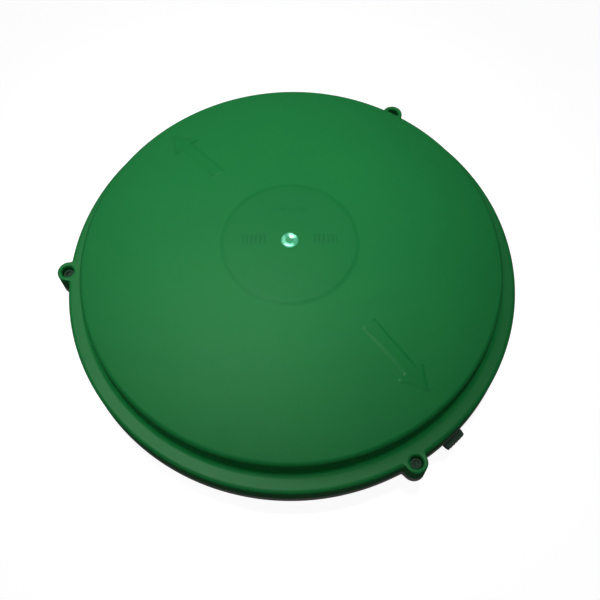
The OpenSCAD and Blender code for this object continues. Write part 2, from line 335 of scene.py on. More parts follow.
class Pierced(Skin):
    """A turned piece with holes: its outline carried round Z, with fine columns in each window."""

    def __init__(self, line, windows, coarse, shift):
        super().__init__()
        angles, self.columns = angle_grid(windows, math.radians(coarse))
        self.grid = turned_grid(line.array(), angles, shift)
        self.numbers = self.add(self.grid)
        self.keep = np.ones(self.numbers.shape, bool)

    def hole(self, top, bottom, columns, spine, stations):
        """A hole, round or long, in place of a block of faces.

        top and bottom are the rows of the blocks on the two faces, from the axis outwards, and
        bottom is None for a blind hole. spine gives the point of the hole's middle line nearest to
        each point. Rings pass evenly from the block's edge to the hole's, then down the stations, a
        list of (distance from the middle line, z), and out again to the other block's edge.
        """
        flat = self.grid.reshape(-1, 3)
        loop = block_loop(self.numbers, top, columns)
        edge = flat[loop]
        middle = spine(edge[:, :2])
        away = edge[:, :2] - middle
        away = away / np.linalg.norm(away, axis=1, keepdims=True)
        wall = [np.column_stack([middle + away * d, np.full(len(loop), z)]) for d, z in stations]
        rings = [edge + t * (wall[0] - edge) for t in (0.3, 0.6, 0.85)] + wall
        for rows in (top, bottom):
            if rows is not None:
                self.keep[min(rows):max(rows), np.arange(*columns) % self.keep.shape[1]] = False
        if bottom is None:
            inside = self.add(np.array(rings))
            self.weave(np.vstack([loop, inside]))
            self.cap(inside[-1], [*middle.mean(0), stations[-1][1]])
            return
        other = block_loop(self.numbers, bottom, columns)
        far = flat[other]
        rings += [wall[-1] + t * (far - wall[-1]) for t in (0.15, 0.4, 0.7)]
        inside = self.add(np.array(rings))
        self.weave(np.vstack([loop, inside, other]))

    def weave_rest(self, close_rows=False):
        """The faces that no hole has taken the place of."""
        self.weave(self.numbers, close_rows=close_rows, keep=self.keep)


def edged(half, top, low, soft):
    """Stations of a straight hole of that half width, with both its edges broken by soft."""
    return [(half + soft, top), (half, top - soft), (half, low + soft), (half + soft, low)]


def spot(centre):
    """The middle of a round hole."""
    return lambda points: np.broadcast_to(centre, points.shape)


def smooth_step(x):
    """Rises from 0 to 1 with no kink: 3x^2 - 2x^3."""
    x = np.clip(x, 0, 1)
    return x * x * (3 - 2 * x)


def lumps(points, wave, seed, terms=9):
    """Soft unevenness between -1 and 1: a mean of sine waves in random directions about that wavelength."""
    draw = np.random.default_rng(seed)
    total = 0
    for _ in range(terms):
        way = draw.normal(size=3)
        way *= TURN / (wave * draw.uniform(0.7, 1.5) * np.linalg.norm(way))
        total = total + np.sin(points @ way + draw.uniform(0, TURN))
    return total / terms


# ---------------------------------------------------------------- rims with lugs


def smooth_union(one, other, blend):
    """The smaller of two distances, with the corner between them rounded over blend."""
    h = np.clip(0.5 + 0.5 * (other - one) / blend, 0, 1)
    return other * (1 - h) + one * h - blend * h * (1 - h)


def lug_distance(radius, angles, size):
    """Distance from the nearest lug's edge, from the law of cosines."""
    third = TURN / 3
    off = (angles - LUG_AT[0] + third / 2) % third - third / 2
    return np.sqrt(radius**2 + LUG_R**2 - 2 * radius * LUG_R * np.cos(off)) - size


def crossing(angles, side, low, high):
    """At each angle, the radius between low and high where side(radius) turns positive, by halving."""
    near, far = np.full_like(angles, low), np.full_like(angles, high)
    for _ in range(40):
        middle = (near + far) / 2
        short = side(middle) < 0
        near, far = np.where(short, middle, near), np.where(short, far, middle)
    return (near + far) / 2


def rim_outline(angles, disc, blend):
    """Outer edge of a disc with three lugs, with small hollows where they meet."""

    def side(radius):
        return smooth_union(radius - disc, lug_distance(radius, angles, LUG_SIZE), blend)

    return crossing(angles, side, disc - 2, disc + 12)


def bore_outline(angles, disc, blend):
    """Inner edge of a round wall that thickens inwards about each lug."""

    def side(radius):
        return -smooth_union(disc - radius, lug_distance(radius, angles, LUG_SIZE), blend)

    return crossing(angles, side, disc - 8, disc + 1)


# ---------------------------------------------------------------- cover


def dome_z(r, lift=0.0):
    """Height of the dome at radius r: z = c + sqrt(R^2 - r^2)."""
    return DOME_C + np.sqrt((DOME_R + lift) ** 2 - np.square(r))


def cover_outline():
    """The cover's wall as a closed outline: out over the dome, down the skirt and back inside."""
    inner_r = RIM_R - WALL
    line = Outline(PLUG_HOLE_R, float(dome_z(PLUG_HOLE_R)) + RELIEF)
    radii = np.concatenate([
        np.linspace(PLUG_HOLE_R, DISC_R - DISC_EDGE, 10)[1:],
        np.linspace(DISC_R - DISC_EDGE, DISC_R, 7)[1:],
        np.linspace(DISC_R, DOME_R * math.cos(EDGE_A), 22)[1:],
    ])
    for r in radii:
        lift = RELIEF * smooth_step((DISC_R - r) / DISC_EDGE)
        line.to(r, float(dome_z(r) + lift))
    line.bend((EDGE_C, EDGE_Z), EDGE_ROUND, math.degrees(EDGE_A), 0, 9)
    line.to(PANEL_R, FLANGE_Z + FOOT_ROUND, 3)
    line.bend((PANEL_R + FOOT_ROUND, FLANGE_Z + FOOT_ROUND), FOOT_ROUND, 180, 270, 8)
    line.to(RIM_R - SHELF, FLANGE_Z, 2)
    line.to(RIM_R - RIM_ROUND, FLANGE_Z, 8, "top")
    line.bend((RIM_R - RIM_ROUND, FLANGE_Z - RIM_ROUND), RIM_ROUND, 90, 0, 7)
    line.to(RIM_R, SKIRT_Z + 0.4, 3)
    line.bend((RIM_R - 0.4, SKIRT_Z + 0.4), 0.4, 0, -90, 3)
    line.to(inner_r + 0.3, SKIRT_Z, 8, "bottom")
    line.bend((inner_r + 0.3, SKIRT_Z + 0.3), 0.3, 270, 180, 3)
    line.to(inner_r, FLANGE_Z - WALL - 0.6, 3)
    line.bend((inner_r - 0.6, FLANGE_Z - WALL - 0.6), 0.6, 0, 90, 3)
    line.to(PANEL_R - WALL, FLANGE_Z - WALL, 4)
    line.to(PANEL_R - WALL, EDGE_Z, 3)
    line.bend((EDGE_C, EDGE_Z), EDGE_ROUND - WALL, 0, math.degrees(EDGE_A), 4)
    inner_c = (DOME_R - WALL) * math.cos(EDGE_A)
    for r in np.linspace(inner_c, PLUG_HOLE_R, 15)[1:]:
        line.to(r, float(dome_z(r, -WALL)))
    return line


def cover_shift(r, z, angles):
    """Pushes the flange and the skirt out to the lugs' outline, and the inner wall in about them.

    At a lug the rim's rounding shrinks to the lug's: its points move in proportion towards the
    sharp corner, and the flat beside it stretches to meet them.
    """
    outer = rim_outline(angles, RIM_R, LUG_BLEND) - RIM_R
    inner_r = RIM_R - WALL
    inner = bore_outline(angles, inner_r, BORE_BLEND) - inner_r

    on_top = z > FLANGE_Z - SLIP
    rounded = (z > FLANGE_Z - RIM_ROUND - SLIP) & (r > RIM_R - RIM_ROUND - SLIP)
    flat = on_top & ~rounded & (r > RIM_R - SHELF)
    out_on_shelf = (r - RIM_R + SHELF) / (SHELF - RIM_ROUND)
    sharpen = smooth_step(outer / 2.0) * (1 - LUG_ROUND / RIM_ROUND)
    widen = np.where(rounded, sharpen * (RIM_R - r), 0.0)
    widen = np.where(flat, sharpen * RIM_ROUND * out_on_shelf, widen)
    lift = np.where(rounded, sharpen * (FLANGE_Z - z), 0.0)

    fade_in = 6.0
    across = np.clip((r - inner_r) / WALL, 0, 1)
    inner_part = np.where(r < inner_r + SLIP, smooth_step((r - inner_r + fade_in) / fade_in), 1.0)
    low = across * outer + (1 - across) * inner * inner_part
    under = (z < FLANGE_Z - WALL + SLIP) & (r > PANEL_R + 1) & (r < RIM_R - SLIP)
    skirt = np.where((z < SKIRT_Z + SLIP) | (r < inner_r + 0.3 + SLIP), low, outer)
    weight = np.where(on_top, smooth_step(out_on_shelf), 1.0)
    dr = np.where(under, skirt, np.where(r > RIM_R - SHELF - SLIP, weight * outer, 0.0))
    return dr + widen, lift


def lug_stations():
    """Down a lug's stepped hole: flared mouth, wall, seat, hole in the web, and the hollow under it."""
    mouth = 1.2
    flare = np.radians([0.0, 22.5, 45.0, 67.5, 90.0])
    low, hole = SEAT_Z - WEB, 1.7
    stations = [
        (RECESS_R + mouth * (1 - math.sin(t)), FLANGE_Z - mouth * (1 - math.cos(t))) for t in flare
    ]
    stations += [(RECESS_R, SEAT_Z + 0.3), (RECESS_R - 0.3, SEAT_Z), (hole, SEAT_Z), (hole, low)]
    return stations + [(RECESS_R, low), (RECESS_R, SKIRT_Z + 0.3), (RECESS_R + 0.3, SKIRT_Z)]


def build_cover():
    """The cover: one closed shell, with a stepped hole through each lug for its screw."""
    line = cover_outline()
    skin = Pierced(line, [(a, LUG_WINDOW, 26) for a in LUG_AT], 0.8, cover_shift)
    top, bottom = line.rows["top"], line.rows["bottom"][::-1]
    for a, span in zip(LUG_AT, skin.columns):
        skin.hole(top, bottom, span, spot(at(a, LUG_R)), lug_stations())
    skin.weave_rest(close_rows=True)
    return skin.object("cover_shell", 40.0)


def rounded_loop(corners, radii, spacing):
    """A closed polygon with rounded corners, as evenly spaced points."""
    corners = np.array(corners, float)
    before, after = np.roll(corners, 1, 0), np.roll(corners, -1, 0)
    t = np.linspace(0, 1, 9)
    path = np.vstack([corner_curve(*sides, t) for sides in zip(before, corners, after, radii)])
    path = np.vstack([path, path[:1]])
    length = np.concatenate([[0], np.cumsum(np.linalg.norm(np.diff(path, axis=0), axis=1))])
    marks = np.arange(0, length[-1] - spacing / 2, spacing)
    return np.column_stack([np.interp(marks, length, path[:, 0]), np.interp(marks, length, path[:, 1])])


def build_arrow(name, direction):
    """A raised arrow on the dome: rings from its edge in to a middle point, lifted with a rounded edge.

    Each ring is the outline drawn towards the middle point; its height is the dome's there plus the
    relief, and the underside runs a little below the dome.
    """
    tail, tip, shaft, head_w, head_l = 60.0, 106.0, 4.5, 9.5, 15.0
    neck = tip - head_l
    corners = [
        (tail, -shaft), (neck, -shaft), (neck, -head_w), (tip, 0),
        (neck, head_w), (neck, shaft), (tail, shaft),
    ]
    loop = rounded_loop(corners, [0.8, 0.5, 0.7, 0.9, 0.7, 0.5, 0.8], 0.5)
    middle = np.array([neck + 1.5, 0.0])
    tangent = np.roll(loop, -1, 0) - np.roll(loop, 1, 0)
    inward = np.column_stack([-tangent[:, 1], tangent[:, 0]]) / np.linalg.norm(tangent, axis=1)[:, None]
    slope, sunk = 2.2, -0.35
    inset = [(slope * t, RELIEF * float(smooth_step(t))) for t in np.linspace(0, 1, 9)]
    rings = [(loop + inward * d, h) for d, h in [(0.0, sunk)] + inset]
    last = rings[-1][0]
    parts = (0.15, 0.3, 0.45, 0.6, 0.75, 0.9)
    fan = [(last + t * (middle - last), RELIEF) for t in parts]
    under = [(loop + t * (middle - loop), sunk) for t in parts[::-1]]
    along = at(direction, 1.0)
    turn = np.array([along, [-along[1], along[0]]])

    def lay(ring, height):
        """The ring turned to its direction, with each point at that height over the dome."""
        z = dome_z(np.linalg.norm(ring, axis=1)) + height
        return np.column_stack([ring @ turn, z])

    skin = Skin()
    top = skin.add(np.array([lay(*ring) for ring in rings + fan]))
    low = skin.add(np.array([lay(*ring) for ring in under]))
    skin.weave(top)
    skin.weave(np.vstack([low, top[:1]]))
    centre = middle @ turn
    height = float(dome_z(np.linalg.norm(middle)))
    skin.cap(top[-1], [*centre, height + RELIEF])
    skin.cap(low[0], [*centre, height + sunk])
    return skin.object(name)


def build_plug():
    """The clear plug: barb, shank, and a domed head with a dished middle."""
    head_r = (PLUG_HIGH[0] - PLUG_LOW[0]) / 2
    low, top = PLUG_LOW[2], PLUG_HIGH[2]
    seat = APEX_Z + RELIEF
    shank = PLUG_HOLE_R - 0.05
    barb, rim, ridge, dish = 4.4, 0.4, 1.3, 0.42
    line = Outline(0.8, low)
    line.to(shank - 1.2, low).to(barb, low + 1.4).to(barb, low + 2.0).to(shank, low + 2.0)
    line.to(shank, seat, 2).to(head_r - 0.1, seat).to(head_r, seat + 0.12)
    line.to(head_r - 0.1, seat + rim)
    for t in np.linspace(0, 1, 9)[1:]:
        line.to(head_r - 0.1 - ridge * t, seat + rim + (top - seat - rim) * math.sin(math.pi / 2 * t))
    for t in np.linspace(0, 1, 9)[1:]:
        line.to((head_r - 0.1 - ridge) * (1 - 0.85 * t), top - dish * smooth_step(1.25 * t))
    return turned("light_plug_clear", line, 72, closed=False, crease=50)


# ---------------------------------------------------------------- screws, washers and inserts


def hexagon(angles):
    """Radius of a hexagon over its inner circle's: 1 / cos(a), a within 30 degrees of a flat's middle."""
    sixth = TURN / 6
    return 1 / np.cos((angles + sixth / 2) % sixth - sixth / 2)


def saw(x):
    """A triangle wave from 0 to 1 and back as x grows by 1."""
    return 1 - np.abs(2 * (x % 1) - 1)


def build_screw(name, angle):
    """A cover screw: knurled head with a hexagonal socket, thin neck and short thread.

    The socket's rows follow a hexagon, the head's side has fine flutes, and the thread's rows go
    in and out with z / pitch + angle / turn, which makes a helix.
    """
    head_r, key_r, neck_r, thread_r, pitch = 2.9, 1.45, 1.1, 1.5, 0.5
    flutes, flute_deep, thread_deep = 24, 0.16, 0.26
    low, top = SCREW_LOW[2], SCREW_HIGH[2]
    thread_top = low + 3.1
    floor = top - 1.1
    line = Outline(0.25, floor - 0.25)
    line.to(key_r - 0.25, floor).to(key_r, floor, 1).to(key_r, top - 0.15, 3).to(key_r + 0.15, top, 1)
    line.to(head_r - 0.35, top, 2)
    line.corner(head_r, top, 0.3, (head_r, SEAT_Z))
    line.to(head_r, SEAT_Z + 0.2, 4).to(head_r - 0.2, SEAT_Z)
    line.to(neck_r, SEAT_Z, 2).to(neck_r, thread_top, 6)
    line.to(thread_r - 0.05, thread_top - 0.1)
    line.to(thread_r - 0.05, low + 0.5, 40).to(0.9, low).to(0.3, low)

    def shift(r, z, angles):
        in_key = (z > floor - 0.3) & (r < key_r + 0.02) & (z < top + 0.01)
        side = (r > head_r - 0.02) & (z < top - 0.2)
        thread = (r > thread_r - 0.06) & (r < thread_r) & (z < thread_top)
        fade = smooth_step((z - low - 0.4) / 0.4) * smooth_step((thread_top - z) / 0.4)
        dr = np.where(in_key, r * 0.985 * (hexagon(angles) - 1), 0.0)
        dr = dr - np.where(side, flute_deep * saw(angles * flutes / TURN), 0.0)
        turns = z / pitch - angles / TURN
        return dr - np.where(thread, thread_deep * fade * saw(turns), 0.0), 0.0

    return turned(name, line, 96, shift, at(angle, LUG_R), closed=False, crease=38)


def build_insert(name, angle):
    """A brass insert: two knurled bands with a plain groove between, and a chamfered bore.

    The knurls lean with z, one way above the groove and the other way below it.
    """
    r_out, r_in = 2.45, 1.55
    ridges, deep, slant = 28, 0.14, 0.35
    low, top = INSERT_LOW[2], INSERT_HIGH[2]
    groove = (low + top) / 2
    line = Outline(r_in, groove)
    line.to(r_in, top - 0.3, 2).to(r_in + 0.3, top).to(r_out - 0.15, top).to(r_out, top - 0.15)
    line.to(r_out, groove + 0.5, 6).to(r_out - 0.3, groove + 0.35).to(r_out - 0.3, groove - 0.35)
    line.to(r_out, groove - 0.5).to(r_out, low + 0.15, 6).to(r_out - 0.15, low).to(r_in + 0.3, low)
    line.to(r_in, low + 0.3)

    def shift(r, z, angles):
        lean = slant * z * np.sign(z - groove)
        return -np.where(r > r_out - 0.02, deep * saw((angles + lean) * ridges / TURN), 0.0), 0.0

    return turned(name, line, 112, shift, at(angle, LUG_R), crease=30)


def build_small_screws():
    """Six pan-head screws under the retainer: r falls to the shank, and the head has a cross cut in it.

    The cut's depth is the fall of a soft step across each of its two slots, out to their length.
    """
    head_r, shank_r = 2.8, 1.4
    slot_half, slot_reach, slot_deep = 0.5, 1.85, 0.95
    low, top = SMALL_LOW[2], SMALL_HIGH[2]
    under = RETAINER_LOW[2]
    skin = Skin()
    line = Outline(0.15, low)
    radii = np.concatenate([np.linspace(0.15, 1.9, 15)[1:], np.linspace(1.9, head_r - 0.1, 5)[1:]])
    for r in radii:
        line.to(r, low + 0.75 * (max(r - 0.8, 0) / head_r) ** 3)
    line.to(head_r, under - 0.45, 1).to(head_r, under).to(shank_r, under, 1).to(shank_r, top - 0.6, 4)
    line.to(0.4, top)

    def shift(r, z, angles):
        x, y = np.abs(r * np.cos(angles)), np.abs(r * np.sin(angles))
        arm = smooth_step((slot_half - np.minimum(x, y)) / 0.2)
        end = smooth_step((slot_reach - r) / 0.3)
        return 0.0, np.where(z < under - 0.4, slot_deep * arm * end, 0.0)

    for a in SMALL_AT:
        add_turned(skin, line.array(), even_angles(72), shift, at(a, SMALL_RING), closed=False)
    return skin.object("retainer_screw_set", 30)


# ---------------------------------------------------------------- tray


def build_tray():
    """The tray: socket, well, deck with six holes, seal spigot, and a band with three blind lug holes."""
    soft = 0.4
    inner = WELL_R - WALL
    groove_in, groove_out, groove_deep = 30.0, 33.0, 0.35
    deck_in, deck_out = RIB_R + 1.1, 103.3
    line = Outline(1.2, SOCKET_TOP)
    line.corner(SOCKET_R, SOCKET_TOP, 0.5, (SOCKET_R, 0))
    line.to(SOCKET_R, 0.8, 3).to(SOCKET_R + 0.8, 0)
    line.to(groove_in, 0, 4).to(groove_in + 0.5, groove_deep)
    line.to(groove_out - 0.5, groove_deep).to(groove_out, 0)
    line.to(WELL_R - 4.5, 0, 4).corner(WELL_R, 0, 1.6, (WELL_R, RIB_Z), 5)
    line.corner(WELL_R, RIB_Z, 0.8, (RIB_R, RIB_Z))
    line.corner(RIB_R, RIB_Z, soft, (RIB_R, DECK_Z)).to(RIB_R, DECK_Z).to(deck_in, DECK_Z)
    line.to(deck_out, DECK_Z, 12, "under").to(TRAY_R - 2, DECK_Z, 4)
    line.corner(TRAY_R, DECK_Z, soft, (TRAY_R, SKIRT_Z))
    line.to(TRAY_R, SKIRT_Z - 2.2, 1).to(TRAY_R, SKIRT_Z - 1.0, 1)
    line.corner(TRAY_R, SKIRT_Z, soft, (BAND_IN, SKIRT_Z))
    line.to(TRAY_R - 1.6, SKIRT_Z).to(BAND_IN + 0.6, SKIRT_Z, 8, "band")
    line.corner(BAND_IN, SKIRT_Z, 0.3, (BAND_IN, DECK_TOP)).to(BAND_IN, DECK_TOP).to(SPIGOT_R, DECK_TOP)
    line.corner(SPIGOT_R, SPIGOT_TOP, 0.5, (SPIGOT_R - WALL, SPIGOT_TOP))
    line.corner(SPIGOT_R - WALL, SPIGOT_TOP, 0.5, (SPIGOT_R - WALL, DECK_TOP))
    line.to(SPIGOT_R - WALL, DECK_TOP + 1.5).corner(SPIGOT_R - WALL, DECK_TOP, 1.2, (100, DECK_TOP))
    line.to(deck_out, DECK_TOP, 4).to(deck_in, DECK_TOP, 12, "deck")
    line.to(inner + 1.5, DECK_TOP, 3).corner(inner, DECK_TOP, 0.7, (inner, WALL))
    line.to(inner, WALL + 3, 4).corner(inner, WALL, 1.5, (40, WALL), 5)
    line.to(BOSS_R + 3, WALL, 10).corner(BOSS_R, WALL, 1.5, (BOSS_R, BOSS_TOP), 5)
    line.to(BOSS_R, BOSS_TOP - 1, 3).corner(BOSS_R, BOSS_TOP, 0.7, (0, BOSS_TOP)).to(1.2, BOSS_TOP, 3)

    def shift(r, z, angles):
        """Carries the band and the deck's underside out to the lugs, less and less towards the axis."""
        outer = rim_outline(angles, TRAY_R, LUG_BLEND) - TRAY_R
        band = smooth_step((r - BAND_IN) / (TRAY_R - BAND_IN)) * (z > DECK_Z + 0.6) * (z < SKIRT_Z + 0.1)
        under = smooth_step((r - TRAY_R + 8) / 8) * (z < DECK_Z + 0.61)
        return outer * np.where(r > BAND_IN + 0.25, band, 0) + outer * under, 0.0

    windows = [(a, LUG_WINDOW, 22) for a in LUG_AT]
    windows += [(a, math.radians(8.6), 26) for a in ENTRY_AT]
    skin = Pierced(line, windows, 1.2, shift)
    hole, hole_low = 2.5, 22.8
    blind = [(hole + 0.25, SKIRT_Z), (hole, SKIRT_Z - 0.25), (hole, hole_low + 1.2)]
    blind += [(hole, hole_low), (hole - 0.8, hole_low)]
    band = line.rows["band"][::-1]
    for a, span in zip(LUG_AT, skin.columns):
        skin.hole(band, None, span, spot(at(a, LUG_R)), blind)
    through = [(ENTRY_HOLE_R, DECK_TOP), (ENTRY_HOLE_R, DECK_Z)]
    deck, below = line.rows["deck"][::-1], line.rows["under"]
    for a, span in zip(ENTRY_AT, skin.columns[len(LUG_AT):]):
        skin.hole(deck, below, span, spot(at(a, ENTRY_R)), through)
    skin.weave_rest()
    skin.cap(skin.numbers[0], [0, 0, SOCKET_TOP])
    skin.cap(skin.numbers[-1], [0, 0, BOSS_TOP])
    return skin.object("tray_body", 38)


def build_peg():
    """The stop peg under the deck, with a rounded end."""
    low, sunk = SHUTTER_LOW[2] + 1.7, DECK_Z + 0.4
    line = Outline(0.3, low)
    line.corner(PEG_R, low, 0.4, (PEG_R, DECK_Z)).to(PEG_R, sunk, 2).to(0.3, sunk)
    return turned("tray_stop_peg", line, 32, None, at(PEG_AT, PEG_RING), closed=False)


def build_cone(name, angle):
    """An entry cone: flared mouth, collar, stepped wall with eight low outer ribs, and a rolled throat."""
    low, top = CONE_LOW[2], CONE_HIGH[2]
    collar = DECK_TOP + 1.6
    spigot = ENTRY_HOLE_R - 0.1
    wall, ribs, rib_high = 1.2, 8, 0.35
    line = Outline(THROAT_R, top - 0.8)
    line.bend((THROAT_R + wall / 2, top - wall / 2), wall / 2, 180, 0, 8)
    line.to(THROAT_R + wall, top - 1.6, 1)
    line.to(MOUTH_R + wall, collar + 0.8, 10, "side")
    line.to(MOUTH_R + wall + 0.8, collar)
    line.corner(CONE_FLANGE_R, collar, 0.4, (CONE_FLANGE_R, DECK_TOP))
    line.to(CONE_FLANGE_R, DECK_TOP).to(spigot, DECK_TOP).to(spigot, low + 0.4).to(spigot - 0.4, low)
    line.to(MOUTH_R + 0.4, low).to(MOUTH_R, low + 0.4).to(MOUTH_R, collar - 1, 1)
    line.to(THROAT_R, top - 1.2, 10)
    first, last = line.rows["side"]
    side = np.zeros((len(line.points), 1))
    side[first + 1:last, 0] = 1

    def shift(r, z, angles):
        rib = smooth_step(1 - np.abs(((angles * ribs / TURN) % 1) - 0.5) / 0.12)
        return rib_high * side * rib, 0.0

    return turned(name, line, 96, shift, at(angle, ENTRY_R), crease=40)


def build_seal():
    """The seal: a rubber channel over the spigot, with a bulged top and two small lips outside."""
    low, top = SEAL_LOW[2], SEAL_HIGH[2]
    r_out, r_in = SPIGOT_R + 0.9, SPIGOT_R - WALL - 0.9
    line = Outline(SPIGOT_R, SPIGOT_TOP)
    line.to(SPIGOT_R, low + 0.2, 2).to(SPIGOT_R + 0.2, low).to(r_out - 0.2, low).to(r_out, low + 0.2)
    line.to(r_out, low + 1.2).to(r_out - 0.25, low + 1.5).to(r_out - 0.25, low + 1.9).to(r_out, low + 2.2)
    line.corner(r_out, top, 0.7, (r_in, top), 4)
    line.to(r_out - 1.4, top).to(r_out - 1.7, top - 0.25).to(r_in + 1.7, top - 0.25).to(r_in + 1.4, top)
    line.corner(r_in, top, 0.7, (r_in, low), 4)
    line.to(r_in, low + 0.2).to(r_in + 0.2, low).to(SPIGOT_R - WALL - 0.2, low)
    line.to(SPIGOT_R - WALL, low + 0.2).to(SPIGOT_R - WALL, SPIGOT_TOP, 2)
    return turned("seal_channel", line, 360, crease=40)


# ---------------------------------------------------------------- shutter and its retainer


def build_shutter():
    """The shutter: a flat ring with six ports, a curved stop slot and two ridged finger tabs.

    The outer rows step out to the tab's edge between its two sides, and down to its underside.
    """
    r_in, r_out = RIB_R + 0.3, 119.0
    ports_in, ports_out, slot_in, slot_out = 77.3, 102.7, 106.0, 114.0
    top = SHUTTER_HIGH[2]
    low = top - 2.3
    drop = low - SHUTTER_LOW[2]
    soft = 0.3
    shoulder = r_out - 4.0
    line = Outline(r_in, (low + top) / 2)
    line.corner(r_in, top, soft, (r_out, top)).to(ports_in, top, 1).to(ports_out, top, 12, "ports")
    line.to(slot_in, top, 1).to(slot_out, top, 6, "slot").to(shoulder, top, 1).to(r_out - 1, top, 1)
    line.corner(r_out, top, soft, (r_out, low)).to(r_out, (top + low) / 2, 2)
    line.corner(r_out, low, soft, (r_in, low)).to(r_out - 1, low, 1)
    line.to(shoulder, low, 1).to(shoulder - 0.1, low)
    line.to(slot_out, low).to(slot_in, low, 6, "slot_under")
    line.to(ports_out, low, 1).to(ports_in, low, 12, "ports_under")
    line.corner(r_in, low, soft, (r_in, top))
    tab_half = math.asin(TAB_HALF / TAB_R)
    ridge_high, ridge_wide = 0.35, 2.2

    def shift(r, z, angles):
        """Steps the outer rows out and down inside each tab, with ridges along its edge."""
        out, down = 0.0, 0.0
        step = smooth_step((r - shoulder) / (r_out - shoulder))
        for a in TAB_AT:
            off = (angles - a + math.pi) % TURN - math.pi
            inside = smooth_step((tab_half - np.abs(off)) / math.radians(0.25))
            corner = smooth_step((np.abs(off) - tab_half + math.radians(0.7)) / math.radians(0.7))
            ridge = ridge_high * saw(off * TAB_R / ridge_wide) * (np.abs(off) < tab_half * 0.82)
            reach = TAB_R - ridge_high - r_out - 0.9 * corner + ridge
            out = out + inside * reach * step
            down = down - inside * drop * (z < low + 0.35) * (r > shoulder - 0.05)
        return out, down

    # The port at a quarter turn lies in the slot's window, so it takes its columns from there.
    port_half, slot_half, slot_steps = 8.4, 10.4, 52
    slot_at = math.degrees(PEG_AT - SHUTTER_TURN / 2)
    single = [a for a in ENTRY_AT if abs(a - math.pi / 2) > 0.1]
    windows = [(a, math.radians(port_half), 28) for a in single]
    windows += [(math.radians(slot_at), math.radians(slot_half), slot_steps)]
    windows += [(a, math.radians(3.6), 36) for a in TAB_AT]
    skin = Pierced(line, windows, 1.2, shift)
    slot_columns = skin.columns[len(single)]
    first = slot_columns[0] + round((90 - port_half - slot_at + slot_half) / (2 * slot_half) * slot_steps)
    shared = (first, first + round(port_half / slot_half * slot_steps))
    ports, under = line.rows["ports"], line.rows["ports_under"][::-1]
    for a, span in zip(single + [math.pi / 2], skin.columns[:len(single)] + [shared]):
        skin.hole(ports, under, span, spot(at(a, ENTRY_R)), edged(PORT_R, top, low, 0.3))

    def slot_spine(points):
        """The arc that the stop peg runs along."""
        a = np.clip(np.arctan2(points[:, 1], points[:, 0]), PEG_AT - SHUTTER_TURN, PEG_AT)
        return PEG_RING * np.column_stack([np.cos(a), np.sin(a)])

    rows, under = line.rows["slot"], line.rows["slot_under"][::-1]
    skin.hole(rows, under, slot_columns, slot_spine, edged(PEG_R + 0.3, top, low, 0.2))
    skin.weave_rest(close_rows=True)
    return skin.object("shutter_plate", 38)


# ---------------------------------------------------------------- bait trough, sponge and lid


def build_trough():
    """The trough: outer wall with a rolled rim, rounded floor, and a wall round the socket."""
    wall = 1.6
    r_out, top, low = -TROUGH_LOW[0], TROUGH_HIGH[2], TROUGH_LOW[2]
    r_in = BOSS_R + 0.8
    line = Outline(r_in, top - 0.5)
    line.corner(r_in, low, 1.2, (r_out, low)).to(r_in + 8, low, 2).to(r_out - 8, low, 6)
    line.corner(r_out, low, 2.5, (r_out, top), 6).to(r_out, top - 1.6, 4)
    line.corner(r_out, top, 0.5, (r_out - wall, top)).corner(r_out - wall, top, 0.5, (r_out - wall, low))
    line.to(r_out - wall, low + 5, 4).corner(r_out - wall, low + wall, 2.5, (r_in, low + wall), 6)
    line.to(r_in + 8, low + wall, 6).corner(r_in + wall, low + wall, 1.5, (r_in + wall, top), 4)
    line.to(r_in + wall, top - 1, 3).corner(r_in + wall, top, 0.5, (r_in, top))
    line.corner(r_in, top, 0.5, (r_in, low))
    return turned("trough_cup", line, 180, crease=40)


def build_sponge():
    """The sponge: a foam ring with softened edges, whose top sinks and swells in soft lumps."""
    r_in, r_out = BOSS_R + 3.4, -SPONGE_LOW[0]
    low, top = SPONGE_LOW[2], SPONGE_HIGH[2]
    line = Outline(r_in, (low + top) / 2)
    line.to(r_in, top - 1.2, 3).corner(r_in, top, 1.0, (r_out, top), 4).to(r_out - 2, top, 24)
    line.corner(r_out, top, 1.2, (r_out, low), 4).to(r_out, low + 1.2, 6)
    line.corner(r_out, low, 1.0, (r_in, low), 4)
    line.to(r_in + 2, low, 10).corner(r_in, low, 1.0, (r_in, top), 4)
    grid = turned_grid(line.array(), even_angles(220))
    dent = 0.35 * (lumps(grid, 17.0, 3) - 0.6) + 0.2 * (lumps(grid, 5.0, 4) - 0.6)
    grid[..., 2] += np.where(grid[..., 2] > top - 0.6, dent, 0.0)
    skin = Skin()
    skin.weave(skin.add(grid), close_rows=True)
    return skin.object("sponge_ring", 60)


